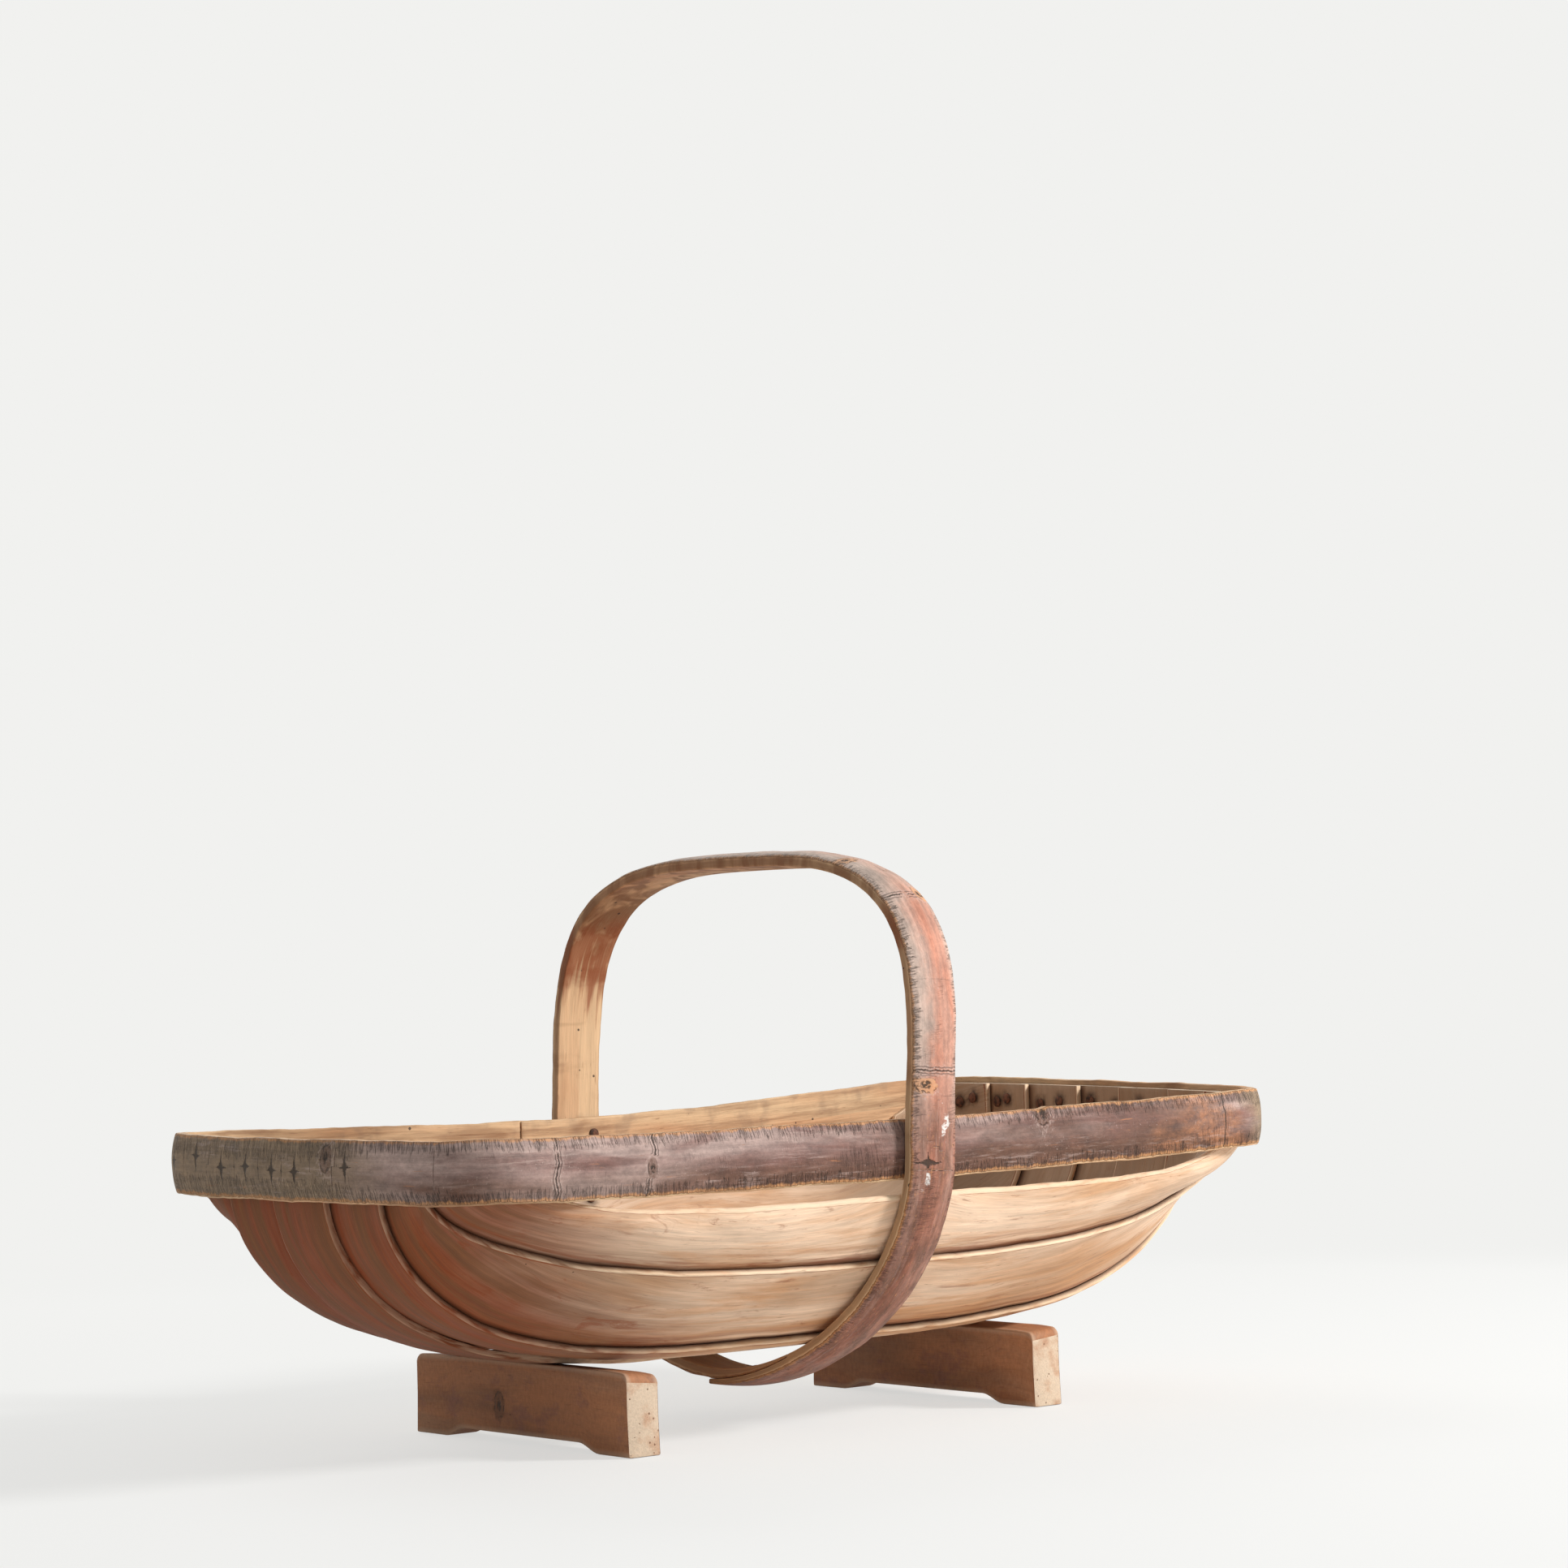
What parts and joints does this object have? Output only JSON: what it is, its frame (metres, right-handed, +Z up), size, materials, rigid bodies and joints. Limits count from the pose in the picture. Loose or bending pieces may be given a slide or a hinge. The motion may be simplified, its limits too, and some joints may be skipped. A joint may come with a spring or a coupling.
{
  "type": "garden trug basket",
  "caption": "Long boat-shaped wooden trug: a bark-covered rim and hoop handle, thin lapped boards nailed to them, and cross feet under the boards.",
  "frame": {"origin": "on the ground midway between the two feet, at the centre of the bounding box's base", "axes": "+X along the trug's length towards the end the handle leans to, +Y across it towards the side where the rim's ends meet, +Z up"},
  "size_m": [0.66, 0.3656, 0.3497],
  "materials": {
    "rim_bark": "purple-brown and grey bark with silvery scuffs",
    "handle_bark": "reddish brown bark with pale cleft edges",
    "pale_board": "bare weathered willow, honey coloured with grey stains",
    "brown_board": "bare weathered willow, browner, with grey stains",
    "foot_wood": "bare weathered wood with worm holes",
    "nail_iron": "rusted clout nails"
  },
  "bodies": {
    "root": {"rim": "rim_bark", "handle": "handle_bark", "centre_board": "pale_board", "near_second_board": "brown_board", "far_second_board": "brown_board", "near_third_board": "pale_board", "far_third_board": "pale_board", "near_side_board": "pale_board", "far_side_board": "pale_board", "left_foot": "foot_wood", "right_foot": "foot_wood", "centre_board_nails": "nail_iron", "near_second_board_nails": "nail_iron", "far_second_board_nails": "nail_iron", "near_third_board_nails": "nail_iron", "far_third_board_nails": "nail_iron", "near_side_board_nails": "nail_iron", "far_side_board_nails": "nail_iron", "rim_handle_nails": "nail_iron", "lap_nails": "nail_iron", "left_foot_nails": "nail_iron", "right_foot_nails": "nail_iron"}
  },
  "joints": []
}
